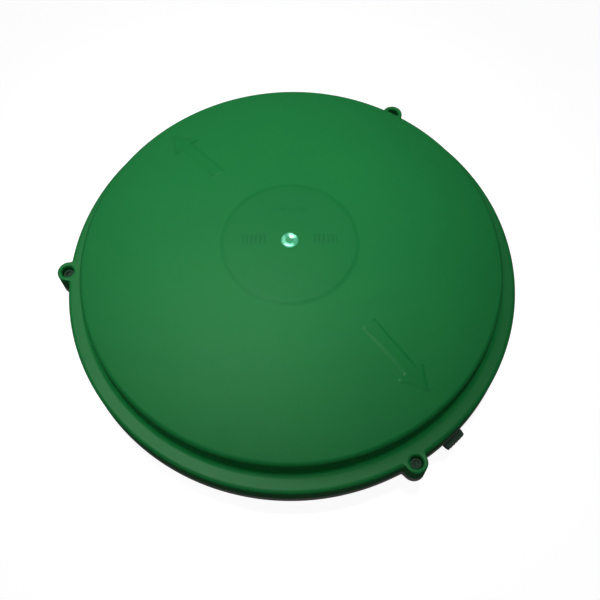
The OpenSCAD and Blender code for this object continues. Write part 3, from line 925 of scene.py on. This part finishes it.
def build_lid():
    """The trough's lid: a disc with radial slots, and a knob with a ridged edge on a stem."""
    r_out = -LID_LOW[0]
    low, top = LID_LOW[2], LID_LOW[2] + 1.6
    knob_top, stem, knob_r = LID_HIGH[2], 6.5, 9.0
    soft = 0.4
    slots, slot_half, slot_in, slot_out = 24, 1.5, 24.0, 54.0
    block_in, block_out = slot_in - 2.5, slot_out + 2.5
    knurls, knurl_deep = 36, 0.35
    line = Outline(1.0, low)
    line.to(16, low, 3).to(block_in, low).to(block_out, low, 16, "below").to(r_out - 3, low, 2)
    line.corner(r_out, low, soft, (r_out, top)).corner(r_out, top, soft, (20, top)).to(r_out - 2.5, top)
    line.to(r_out - 2.7, top - 0.2).to(r_out - 3.5, top - 0.2).to(r_out - 3.7, top)
    line.to(block_out, top).to(block_in, top, 16, "above").to(stem + 1.5, top, 3)
    line.corner(stem, top, 1.2, (stem, knob_top - 3), 4).to(stem, knob_top - 3.4, 2)
    line.corner(stem, knob_top - 3, 0.3, (knob_r, knob_top - 3))
    line.corner(knob_r, knob_top - 3, 0.5, (knob_r, knob_top)).to(knob_r, knob_top - 1.5, 2)
    line.corner(knob_r, knob_top, 0.7, (0, knob_top), 4).to(5.5, knob_top, 2).to(4.5, knob_top - 0.5, 2)
    line.to(1.0, knob_top - 0.5, 2)

    def shift(r, z, angles):
        edge = (r > knob_r - 0.02) & (z > top + 2) & (z < knob_top - 0.6)
        return -np.where(edge, knurl_deep * saw(angles * knurls / TURN), 0.0), 0.0

    slot_at = even_angles(slots)
    skin = Pierced(line, [(a, math.radians(5.2), 12) for a in slot_at], 1.6, shift)
    above, below = line.rows["above"][::-1], line.rows["below"]
    for a, span in zip(slot_at, skin.columns):
        way = at(a, 1.0)

        def spine(points, way=way):
            """The slot's middle line, from its inner to its outer end."""
            return np.clip(points @ way, slot_in + slot_half, slot_out - slot_half)[:, None] * way

        skin.hole(above, below, span, spine, edged(slot_half, top, low, 0.2))
    skin.weave_rest()
    skin.cap(skin.numbers[0], [0, 0, low])
    skin.cap(skin.numbers[-1], [0, 0, knob_top - 0.5])
    return skin.object("lid_disc", 38)


def build_foot(name, angle):
    """A rubber foot: rounded pad with two grooves and a dished middle underneath, and its stem above."""
    r, stem = 8.0, 2.85
    low, top = FOOT_LOW[2], FOOT_HIGH[2]
    dish, groove, seat = low + 0.5, low + 0.35, -0.02
    line = Outline(0.5, dish)
    line.to(2.4, dish, 2).to(2.8, low, 1).to(4.2, low, 1).to(4.4, groove).to(5.0, groove)
    line.to(5.2, low).to(6.0, low).to(6.2, groove).to(6.6, groove).to(6.8, low)
    line.corner(r, low, 0.7, (r, 0), 4).corner(r, seat, 0.5, (stem, seat), 3).to(stem, seat)
    line.to(stem, top - 0.3, 2).to(stem - 0.3, top).to(0.5, top)
    return turned(name, line, 72, None, at(angle, FOOT_RING), closed=False, crease=40)


# ---------------------------------------------------------------- finishes


class Wire:
    """A value in a shader: a socket that can be used in sums like a number."""

    def __init__(self, paint, socket):
        self.paint, self.socket = paint, socket

    def __add__(self, other):
        return self.paint.maths("ADD", self, other)

    def __radd__(self, other):
        return self.paint.maths("ADD", other, self)

    def __sub__(self, other):
        return self.paint.maths("SUBTRACT", self, other)

    def __rsub__(self, other):
        return self.paint.maths("SUBTRACT", other, self)

    def __mul__(self, other):
        return self.paint.maths("MULTIPLY", self, other)

    def __rmul__(self, other):
        return self.paint.maths("MULTIPLY", other, self)

    def __truediv__(self, other):
        return self.paint.maths("DIVIDE", self, other)

    def __rtruediv__(self, other):
        return self.paint.maths("DIVIDE", other, self)

    def __abs__(self):
        return self.paint.maths("ABSOLUTE", self)


class Paint:
    """A material made of nodes, with its places measured in millimetres on the object."""

    def __init__(self, name, constants):
        self.material = bpy.data.materials.new(name)
        self.material.use_nodes = True
        self.tree = self.material.node_tree
        self.shader = next(n for n in self.tree.nodes if n.type == "BSDF_PRINCIPLED")
        for key, value in constants.items():
            self.shader.inputs[key].default_value = value
        metres = self.node("ShaderNodeTexCoord", out="Object")
        scale = {0: metres, "Scale": 1 / MM}
        self.point = self.node("ShaderNodeVectorMath", {"operation": "SCALE"}, scale)
        parts = [self.node("ShaderNodeSeparateXYZ", None, {0: self.point}, k) for k in range(3)]
        self.x, self.y, self.z = parts
        self.r = self.maths("SQRT", self.x * self.x + self.y * self.y)

    def put(self, socket, value):
        """Links a value to a socket, or sets it."""
        if isinstance(value, Wire):
            self.tree.links.new(value.socket, socket)
        else:
            socket.default_value = value

    def node(self, kind, settings=None, inputs=None, out=0):
        """Adds a node of that kind, settings first, and returns its output."""
        node = self.tree.nodes.new(kind)
        for key, value in (settings or {}).items():
            setattr(node, key, value)
        for key, value in (inputs or {}).items():
            self.put(node.inputs[key], value)
        return Wire(self, node.outputs[out])

    def maths(self, operation, *values):
        """A maths node on numbers or wires."""
        return self.node("ShaderNodeMath", {"operation": operation}, dict(enumerate(values)))

    def rise(self, value, low, high):
        """Smooth step from 0 at low to 1 at high."""
        if low > high:
            return 1 - self.rise(value, high, low)
        keys = {"Value": value, "From Min": low, "From Max": high}
        return self.node("ShaderNodeMapRange", {"interpolation_type": "SMOOTHSTEP"}, keys)

    def band(self, value, low, high, soft):
        """1 between low and high, fading to 0 over soft outside them."""
        return self.rise(value, low - soft, low) * self.rise(value, high + soft, high)

    def noise(self, size, detail=2.0, roughness=0.5):
        """Noise from 0 to 1 whose lumps are about size mm across."""
        keys = {"Vector": self.point, "Scale": 1 / size, "Detail": detail, "Roughness": roughness}
        return self.node("ShaderNodeTexNoise", None, keys)

    def cells(self, size):
        """Distance from the nearest of points scattered about size mm apart."""
        return self.node("ShaderNodeTexVoronoi", None, {"Vector": self.point, "Scale": 1 / size})

    def saw(self, value):
        """Triangle wave from 0 to 1 and back as value grows by 1."""
        return 1 - abs(2 * self.maths("FRACT", value) - 1)

    def mix(self, factor, one, other):
        """Colour one at 0, the other at 1."""
        colours = [c if isinstance(c, Wire) else (*c, 1.0) for c in (one, other)]
        keys = {0: factor, 6: colours[0], 7: colours[1]}
        return self.node("ShaderNodeMix", {"data_type": "RGBA"}, keys, 2)

    def finish(self, colour, roughness, height=None, depth=0.05, **others):
        """Feeds the shader. depth is the relief in mm of height going from 0 to 1."""
        self.put(self.shader.inputs["Base Color"], colour)
        self.put(self.shader.inputs["Roughness"], roughness)
        for key, value in others.items():
            self.put(self.shader.inputs[key.replace("_", " ")], value)
        if height is not None:
            keys = {"Height": height, "Distance": depth * MM, "Strength": 1.0}
            self.put(self.shader.inputs["Normal"], self.node("ShaderNodeBump", None, keys))
        return self.material


def shade(colour, factor):
    """The colour made lighter or darker."""
    return tuple(c * factor for c in colour)


def moulded(name, colour, roughness, grain, depth, gloss=0.4, spread=0.12):
    """Moulded plastic or rubber: fine grain, and slow changes of tone and of gloss."""
    paint = Paint(name, {"Specular IOR Level": gloss})
    slow, fine = paint.noise(30.0, 3), paint.noise(grain, 3)
    tone = paint.mix(slow, shade(colour, 1 - spread), shade(colour, 1 + spread))
    tone = paint.mix(0.25 * fine, tone, shade(colour, 0.8))
    return paint.finish(tone, roughness + 0.12 * (slow - 0.5) + 0.08 * (fine - 0.5), fine, depth)


COVER_GREEN = (0.0075, 0.182, 0.040)
DEEP_GREEN = (0.0055, 0.140, 0.034)
WARM_GREEN = (0.012, 0.195, 0.038)


def paint_cover(name, polish):
    """Green plastic: fine texture on the dome, smoother disc, edges and flange, and faint tick marks."""
    paint = Paint(name, {"Specular IOR Level": 0.14})
    r, z = paint.r, paint.z
    dome = paint.rise(z, EDGE_Z - 0.5, EDGE_Z + 2.0) * paint.rise(r, PANEL_R - 0.4, PANEL_R - 2.4)
    disc = paint.rise(r, DISC_R + 0.5, DISC_R - 3.0) * dome
    slow, fine = paint.noise(42.0, 3), paint.noise(0.55, 3, 0.6)
    wisps = paint.noise(9.0, 4, 0.65)
    tone = paint.mix(slow, DEEP_GREEN, WARM_GREEN)
    tone = paint.mix(0.55, tone, COVER_GREEN)
    tone = paint.mix(0.22 * wisps, tone, DEEP_GREEN)
    tone = paint.mix(0.12 * fine * dome, tone, (0.02, 0.21, 0.07))
    tone = paint.mix(0.30 * disc, tone, DEEP_GREEN)

    # Plain ticks: a row on each side of the plug, and a short row of small ones behind it.
    row_y, row_in, row_out, tick = 1.5, 13.0, 25.0, 2.4
    small_y, small_out, small_tick = 19.5, 10.0, 1.6
    row = paint.band(abs(paint.y - row_y), 0.0, 2.5, 0.3) * paint.band(abs(paint.x), row_in, row_out, 0.3)
    row = row * paint.rise(paint.saw(paint.x / tick), 0.55, 0.7)
    small = paint.band(abs(paint.y - small_y), 0.0, 1.2, 0.25)
    small = small * paint.rise(abs(paint.x), small_out + 0.2, small_out)
    small = small * paint.rise(paint.saw(paint.x / small_tick), 0.5, 0.7)
    ticks = paint.maths("MAXIMUM", row, 0.6 * small) * disc
    tone = paint.mix(0.30 * ticks, tone, (0.004, 0.07, 0.03))

    fillet = paint.band(r, PANEL_R - 0.5, PANEL_R + FOOT_ROUND - 1.0, 0.8)
    fillet = fillet * paint.rise(z, FLANGE_Z + 6.0, FLANGE_Z + 3.0)
    rough = 0.44 - polish + 0.10 * dome - 0.02 * disc - 0.20 * fillet
    rough = rough + 0.10 * (wisps - 0.5) + 0.06 * (slow - 0.5)
    height = fine * (0.12 + 0.88 * dome - 0.5 * disc) + 3.0 * ticks
    return paint.finish(tone, rough, height, 0.030)


def paint_plug():
    """Clear green plastic with painted light: base colour lighter round its edge as a painted highlight,
    painted glints glowing at its edge, and greener in its dish.
    """
    paint = Paint("clear green", {
        "Specular IOR Level": 0.6, "Coat Roughness": 0.04, "Coat Weight": 1.0, "Emission Strength": 1.0,
    })
    # Painted highlight: the base colour is lighter in a ring round the edge of the head.
    edge = paint.band(paint.r, 2.3, 4.3, 0.5)
    swirl = paint.noise(1.4, 2)
    streak = paint.band(paint.r + 2.0 * (swirl - 0.5), 2.4, 3.9, 0.4)
    across, along = paint.x / (paint.r + 0.1), paint.y / (paint.r + 0.1)
    # Painted glints: emission in two bright crescents and a weaker one on one side, round the edge of the
    # head.
    painted_glint = paint.rise(-0.99 * along - 0.14 * across, 0.55, 0.95)
    painted_glint = painted_glint + paint.rise(0.87 * along + 0.48 * across, 0.60, 0.95)
    painted_glint = painted_glint + 0.35 * paint.rise(across, -0.6, -0.95)
    top = paint.rise(paint.z, PLUG_HIGH[2] - 1.6, PLUG_HIGH[2] - 0.8)
    tone = paint.mix(edge, (0.035, 0.30, 0.13), (0.07, 0.40, 0.22))
    # Colour of the painted glints, given off as emission where the mask above is on.
    light = paint.mix(painted_glint * streak * top, (0.004, 0.05, 0.02), (0.32, 0.95, 0.62))
    return paint.finish(tone, 0.10 + 0.1 * swirl, swirl, 0.05, Emission_Color=light)


def paint_screw(name, colour, metallic, roughness, gloss=0.5):
    """Metal, bare or coated, with fine marks and a few worn spots."""
    paint = Paint(name, {"Specular IOR Level": gloss})
    lines = paint.noise(0.35, 2)
    wear = paint.rise(paint.noise(1.6, 4, 0.7), 0.55, 0.75)
    tone = paint.mix(lines, shade(colour, 0.75), shade(colour, 1.2))
    tone = paint.mix(0.35 * wear, tone, shade(colour, 1.9))
    bare = metallic * (1 - 0.15 * wear)
    return paint.finish(tone, roughness + 0.2 * (lines - 0.5), lines, 0.02, Metallic=bare)


def paint_sponge():
    """Open foam: round pores of two sizes, and a damp, darker foot."""
    paint = Paint("bait foam", {"Specular IOR Level": 0.15, "Sheen Weight": 0.2})
    large, small, slow = paint.cells(2.4), paint.cells(0.9), paint.noise(14.0, 3)
    pores = paint.rise(large, 0.45, 0.15)
    pits = paint.rise(small, 0.4, 0.15)
    tone = paint.mix(slow, (0.62, 0.45, 0.13), (0.74, 0.58, 0.22))
    tone = paint.mix(0.75 * pores, tone, (0.26, 0.16, 0.04))
    tone = paint.mix(0.35 * pits, tone, (0.34, 0.22, 0.06))
    wet = paint.rise(paint.z + 3 * (slow - 0.5), SPONGE_LOW[2] + 6, SPONGE_LOW[2] + 3)
    tone = paint.mix(0.6 * wet, tone, (0.30, 0.19, 0.05))
    return paint.finish(tone, 0.9 - 0.35 * wet, 1 - 0.7 * pores - 0.3 * pits, 0.5)


def paint_cone():
    """Yellow plastic, darker over its top few millimetres towards the throat."""
    paint = Paint("cone yellow", {"Specular IOR Level": 0.5, "Subsurface Weight": 0.08})
    slow, fine = paint.noise(12.0, 3), paint.noise(0.5, 3)
    tone = paint.mix(slow, (0.80, 0.46, 0.010), (0.90, 0.56, 0.020))
    tone = paint.mix(0.35 * paint.rise(paint.z, CONE_HIGH[2] - 6, CONE_HIGH[2]), tone, (0.62, 0.33, 0.01))
    return paint.finish(tone, 0.28 + 0.14 * slow + 0.05 * fine, fine, 0.02)


def paint_shutter():
    """Dark green-grey plastic, rubbed lighter in rings where it slides under the deck."""
    paint = Paint("shutter dark", {"Specular IOR Level": 0.35})
    slow, fine = paint.noise(25.0, 3), paint.noise(0.6, 3)
    rub = paint.noise(1.1, 2) * paint.rise(paint.z, SHUTTER_HIGH[2] - 0.4, SHUTTER_HIGH[2] - 0.1)
    tone = paint.mix(slow, (0.009, 0.034, 0.017), (0.015, 0.052, 0.026))
    tone = paint.mix(0.3 * rub, tone, (0.06, 0.10, 0.075))
    return paint.finish(tone, 0.46 + 0.15 * (slow - 0.5), fine, 0.03)


def paint_floor():
    """Pale, even paper with a faint change of tone."""
    paint = Paint("pale floor", {"Specular IOR Level": 0.1, "Emission Strength": 0.92})
    slow = paint.noise(400.0, 2)
    tone = paint.mix(slow, (0.24, 0.24, 0.243), (0.26, 0.26, 0.26))
    return paint.finish(tone, 0.9, Emission_Color=(1.0, 1.0, 1.0, 1.0))


# ---------------------------------------------------------------- assembly


def place(piece, body, material, node):
    """Gives a piece its finish and body, and lets it stand for a CAD node."""
    piece.data.materials.append(material)
    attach(piece, body)
    if node:
        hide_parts(node)
    return piece


place(build_cover(), "cover", paint_cover("cover green", 0.0), "cover")
polished = paint_cover("arrow green", 0.16)
for k, direction in enumerate(ARROW_AT, 1):
    place(build_arrow(f"cover_arrow_{k}", direction), "cover", polished, None)
place(build_plug(), "cover", paint_plug(), "light_plug")

rubber = moulded("seal rubber", (0.012, 0.012, 0.012), 0.62, 0.7, 0.03, 0.3)
place(build_seal(), "tray", rubber, "cover_seal")

black = paint_screw("green black screw", (0.006, 0.040, 0.016), 0.0, 0.55, 0.2)
brass = paint_screw("insert brass", (0.60, 0.40, 0.13), 1.0, 0.28)
nylon = moulded("white nylon", (0.72, 0.72, 0.66), 0.42, 0.4, 0.01, 0.45, 0.05)
for k, angle in enumerate(SCREW_AT, 1):
    place(build_screw(f"cover_screw_{k}", angle), f"screw_{k}", black, f"lid_screw_{k}")
    place(build_insert(f"brass_insert_{k}", angle), "tray", brass, f"threaded_insert_{k}")
    line = ring_outline(1.2, RECESS_R - 0.05, WASHER_LOW[2], WASHER_HIGH[2], 0.15)
    washer = turned(f"nylon_washer_{k}", line, 48, None, at(angle, LUG_R))
    place(washer, "cover", nylon, f"screw_retainer_{k}")

grey = moulded("tray grey", (0.33, 0.33, 0.315), 0.5, 0.6, 0.03, 0.35, 0.08)
place(build_tray(), "tray", grey, "base_tray")
place(build_peg(), "tray", grey, None)
yellow = paint_cone()
for k, angle in enumerate(ENTRY_AT, 1):
    place(build_cone(f"cone_{k}", angle), "tray", yellow, f"entry_cone_{k}")

place(build_shutter(), "shutter", paint_shutter(), "shutter_ring")
line = ring_outline(WELL_R + 0.3, -RETAINER_LOW[0], RETAINER_LOW[2], RETAINER_HIGH[2], 0.35, 3, 6)
retainer_grey = moulded("retainer grey", (0.105, 0.11, 0.105), 0.5, 0.6, 0.03, 0.35)
place(turned("retainer_ring", line, 240), "tray", retainer_grey, "shutter_retainer")
steel = paint_screw("zinc steel", (0.55, 0.56, 0.57), 1.0, 0.3)
place(build_small_screws(), "tray", steel, "retainer_screws")

pale = moulded("trough pale", (0.56, 0.57, 0.53), 0.4, 0.5, 0.02, 0.45, 0.05)
place(build_trough(), "bait", pale, "bait_trough")
sponge = place(build_sponge(), "bait", paint_sponge(), "bait_sponge")
slate = moulded("lid slate", (0.070, 0.095, 0.105), 0.45, 0.6, 0.03, 0.35)
place(build_lid(), "bait_cover", slate, "bait_lid")

foot_black = moulded("foot rubber", (0.009, 0.009, 0.009), 0.7, 0.5, 0.03, 0.25)
for k, angle in enumerate(FOOT_AT, 1):
    place(build_foot(f"foot_pad_{k}", angle), "tray", foot_black, f"rubber_foot_{k}")


# ---------------------------------------------------------------- floor, light and camera


def build_floor():
    """A pale sheet, flat under the feet, that turns up at its edge in a quarter circle into a wall."""
    flat, bend, wall_top = 1800.0, 900.0, 3000.0
    turn = np.linspace(0.0, math.pi / 2, 13)
    sweep = np.stack([flat + bend * np.sin(turn), bend - bend * np.cos(turn)], -1)
    line = np.vstack([[400.0, 0.0], sweep, [flat + bend, wall_top]]) + [0.0, FOOT_LOW[2]]
    skin = Skin()
    numbers = skin.add(turned_grid(line, even_angles(72)))
    skin.weave(numbers)
    skin.cap(numbers[0], [0.0, 0.0, FOOT_LOW[2]])
    floor = skin.object("floor")
    floor.data.materials.append(paint_floor())
    floor.visible_diffuse = floor.visible_glossy = floor.visible_shadow = False


def aim(stand, target):
    """The matrix of a lamp that stands at one point and shines at another, both in millimetres."""
    back = np.array(stand, float) - np.array(target, float)
    back /= np.linalg.norm(back)
    side = np.cross([0.0, 0.01, 1.0], back)
    side /= np.linalg.norm(side)
    matrix = np.eye(4)
    matrix[:3, :4] = np.column_stack([side, np.cross(back, side), back, np.array(stand) * MM])
    return Matrix(matrix.tolist())


def hang(name, kind, stand, target, power):
    """A lamp of that kind, in watts."""
    data = bpy.data.lights.new(name, kind)
    data.energy = power
    lamp = bpy.data.objects.new(name, data)
    lamp.matrix_world = aim(stand, target)
    bpy.context.scene.collection.objects.link(lamp)
    return lamp


def soft_box(name, stand, target, width, depth, power):
    """A rectangular lamp, in millimetres and watts."""
    lamp = hang(name, "AREA", stand, target, power)
    lamp.data.shape = "RECTANGLE"
    lamp.data.size, lamp.data.size_y = width * MM, depth * MM


def soft_spot(name, stand, target, cone, power, size, only):
    """A round lamp whose light fades from the middle of its cone outwards, for gloss or for tone only."""
    lamp = hang(name, "SPOT", stand, target, power)
    lamp.data.shadow_soft_size = size * MM
    lamp.data.spot_size, lamp.data.spot_blend = math.radians(cone), 1.0
    lamp.visible_glossy, lamp.visible_diffuse = only == "glossy", only == "diffuse"


def build_surround():
    """A surround that is brighter overhead and behind, and dim in front and below.

    Its tone rises with the dot product of the direction looked in and one that leans back and left.
    """
    world = bpy.data.worlds.new("surround")
    world.use_nodes = True
    tree = world.node_tree
    direction = tree.nodes.new("ShaderNodeTexCoord").outputs["Generated"]
    lean = tree.nodes.new("ShaderNodeVectorMath")
    lean.operation = "DOT_PRODUCT"
    lean.inputs[1].default_value = (-0.18, 0.45, 0.87)
    step = tree.nodes.new("ShaderNodeMapRange")
    step.interpolation_type = "SMOOTHSTEP"
    tone = tree.nodes.new("ShaderNodeMix")
    tone.data_type = "RGBA"
    tone.inputs[6].default_value = (0.045, 0.045, 0.045, 1.0)
    tone.inputs[7].default_value = (0.25, 0.26, 0.26, 1.0)
    background = next(n for n in tree.nodes if n.type == "BACKGROUND")
    tree.links.new(direction, lean.inputs[0])
    tree.links.new(lean.outputs["Value"], step.inputs["Value"])
    tree.links.new(step.outputs[0], tone.inputs[0])
    tree.links.new(tone.outputs[2], background.inputs["Color"])
    bpy.context.scene.world = world


def build_light():
    """A spot overhead for tone and one for sheen, a weaker one from the left, and a front strip."""
    build_surround()
    soft_spot("sheen", (-320, 160, 1480), (-35, 10, 60), 32.0, 105.0, 400.0, "glossy")
    soft_spot("beam", (-18, 54, 1600), (-18, 32, 60), 9.1, 218.0, 150.0, "diffuse")
    soft_spot("left", (-900, 300, 1200), (-60, 20, 60), 12.0, 30.0, 200.0, "diffuse")
    soft_box("front strip", (0, -900, 1000), (0, -60, 40), 900, 120, 1.2)
    bpy.context.scene.view_settings.view_transform = "Standard"


def build_camera():
    """The viewpoint: 62 degrees up, just right of the front, with a slight roll."""
    elevation, azimuth, roll = math.radians(62.156), math.radians(-87.85), -0.04108
    distance = 3.7348 * RIM_R
    flat = math.cos(elevation)
    back = np.array([math.cos(azimuth) * flat, math.sin(azimuth) * flat, math.sin(elevation)])
    right = np.cross([0, 0, 1], back)
    right /= np.linalg.norm(right)
    up = np.cross(back, right)
    c, s = math.cos(roll), math.sin(roll)
    stand = (np.array([0, 0, FLANGE_Z]) + back * distance) * MM
    matrix = np.eye(4)
    matrix[:3, :4] = np.column_stack([c * right + s * up, c * up - s * right, back, stand])
    data = bpy.data.cameras.new("view")
    data.sensor_width, data.lens = 36.0, 49.80
    data.shift_x, data.shift_y = 0.01518, -0.05114
    data.clip_start = 0.01
    view = bpy.data.objects.new("view", data)
    view.matrix_world = Matrix(matrix.tolist())
    bpy.context.scene.collection.objects.link(view)
    bpy.context.scene.camera = view


build_floor()
build_light()
build_camera()
